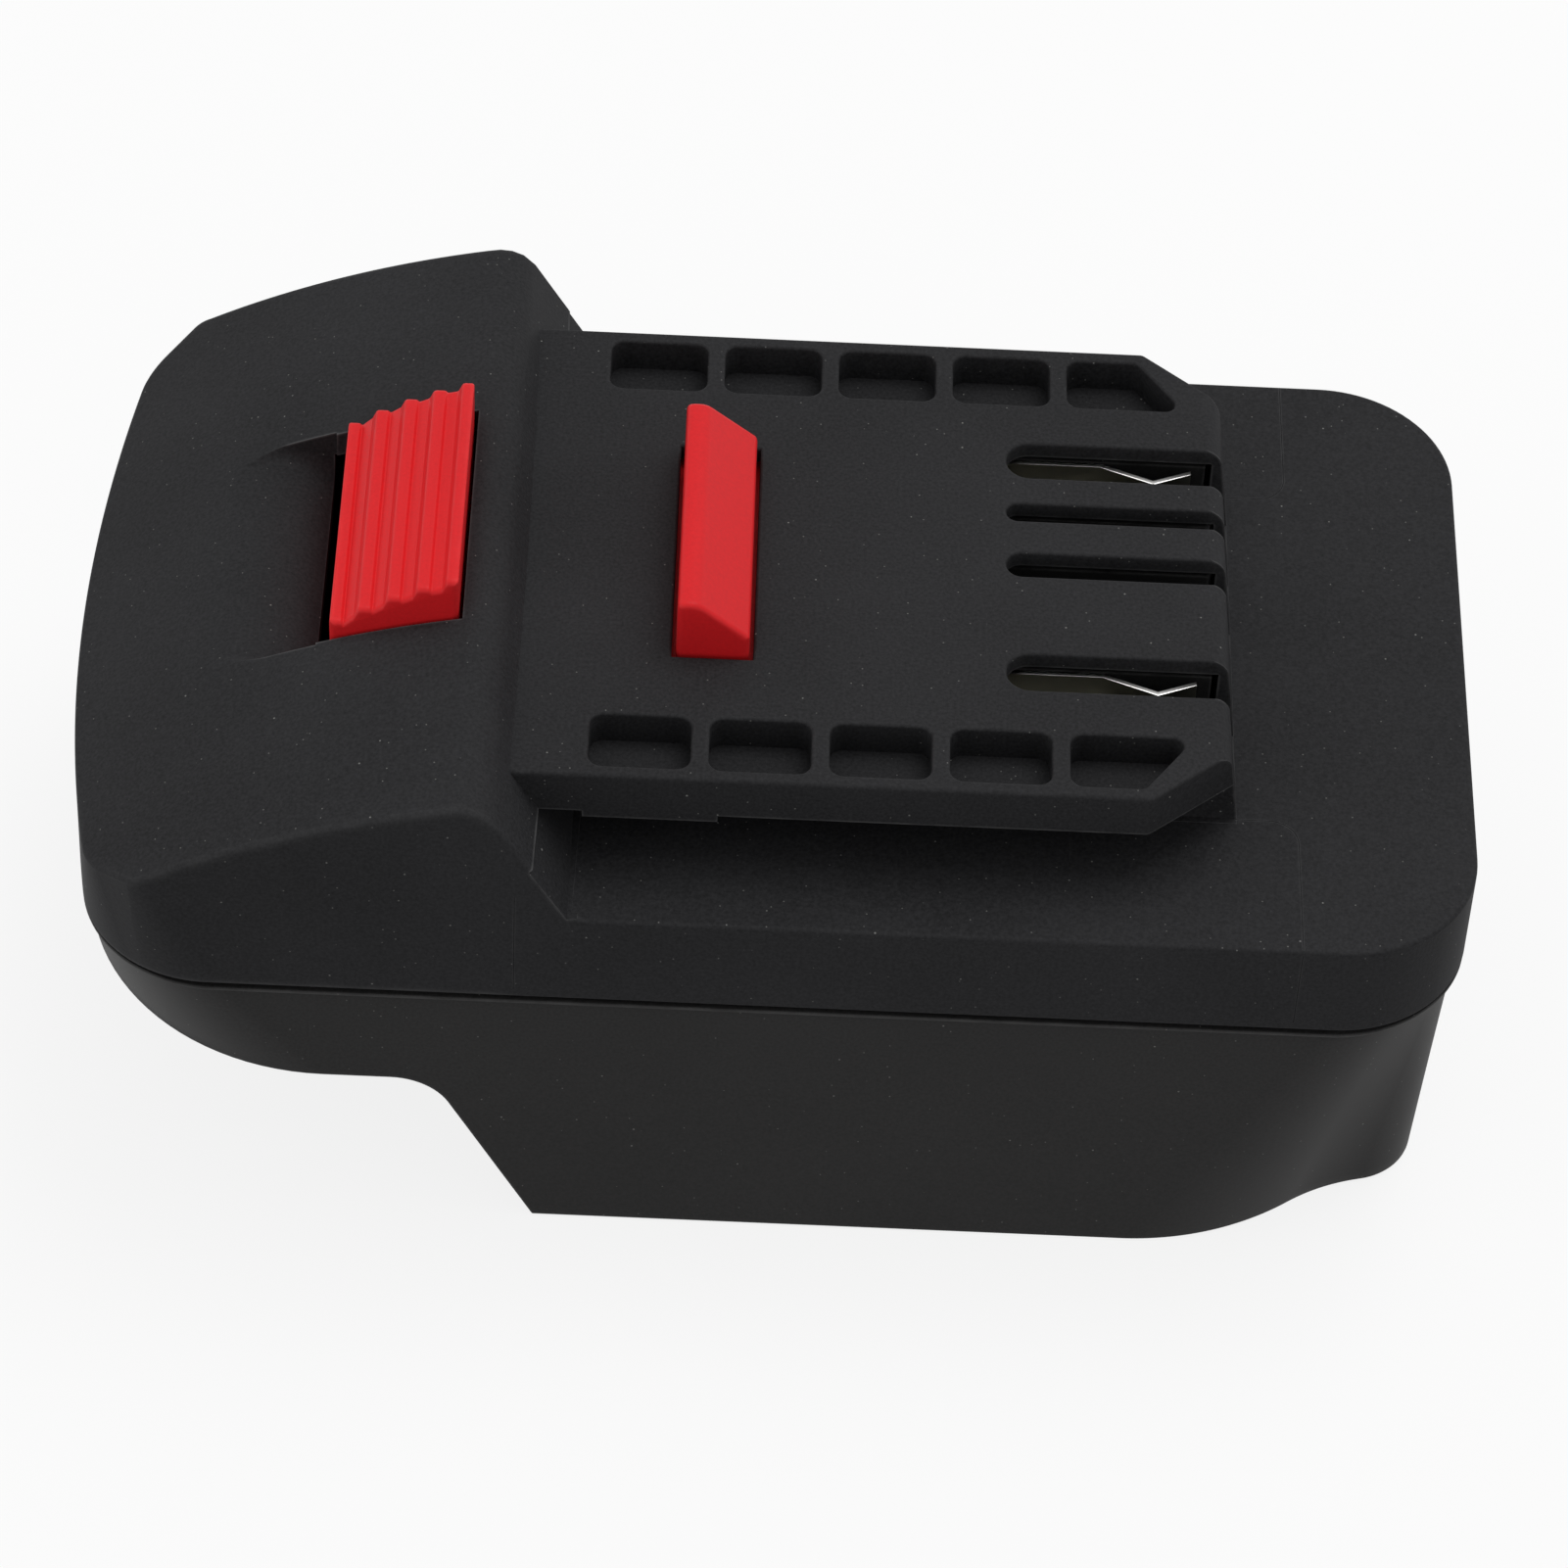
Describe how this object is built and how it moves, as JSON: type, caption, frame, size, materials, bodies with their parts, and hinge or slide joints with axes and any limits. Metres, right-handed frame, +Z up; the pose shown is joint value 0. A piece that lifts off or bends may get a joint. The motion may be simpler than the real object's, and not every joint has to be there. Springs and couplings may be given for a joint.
{
  "type": "tool battery adapter",
  "caption": "Slide-on battery adapter for cordless tools: tool rail with clip contacts and a red push-button latch on top, deep battery socket with blade contacts underneath.",
  "frame": {"origin": "middle of the box round the part, on the foot rim", "axes": "+X along the rail towards the contact end, +Y across it, +Z up out of the rail's top face"},
  "size_m": [0.12, 0.0686, 0.0568],
  "materials": {
    "shell_plastic": "fine grained black",
    "inner_plastic": "plain black",
    "red_plastic": "satin red",
    "nickel": "nickel plated, slightly dull",
    "spring_steel": "drawn wire",
    "screw_steel": "zinc plated",
    "red_wire": "satin",
    "black_wire": "satin",
    "sleeve_plastic": "shrunk on"
  },
  "bodies": {
    "housing": {"upper_housing": "shell_plastic", "lower_housing": "shell_plastic", "latch_spring_left": "spring_steel", "latch_spring_right": "spring_steel", "spring_carrier": "inner_plastic", "carrier_screws": "screw_steel", "contact_block": "inner_plastic", "contact_block_screws": "screw_steel", "positive_clip": "nickel", "negative_clip": "nickel", "terminal_block": "inner_plastic", "positive_blade": "nickel", "negative_blade": "nickel", "positive_wire": "red_wire", "negative_wire": "black_wire", "wire_sleeves": "sleeve_plastic", "housing_screws": "screw_steel"},
    "latch": {"release_latch": "red_plastic"}
  },
  "joints": [
    {"name": "latch_press", "type": "slide", "parent": "housing", "child": "latch", "axis": [0, 0, -1], "range_m": [0, 0.0059], "stiffness_N_per_m": 1000, "springref_m": -0.004, "deforming": ["latch_spring_left", "latch_spring_right"]}
  ]
}
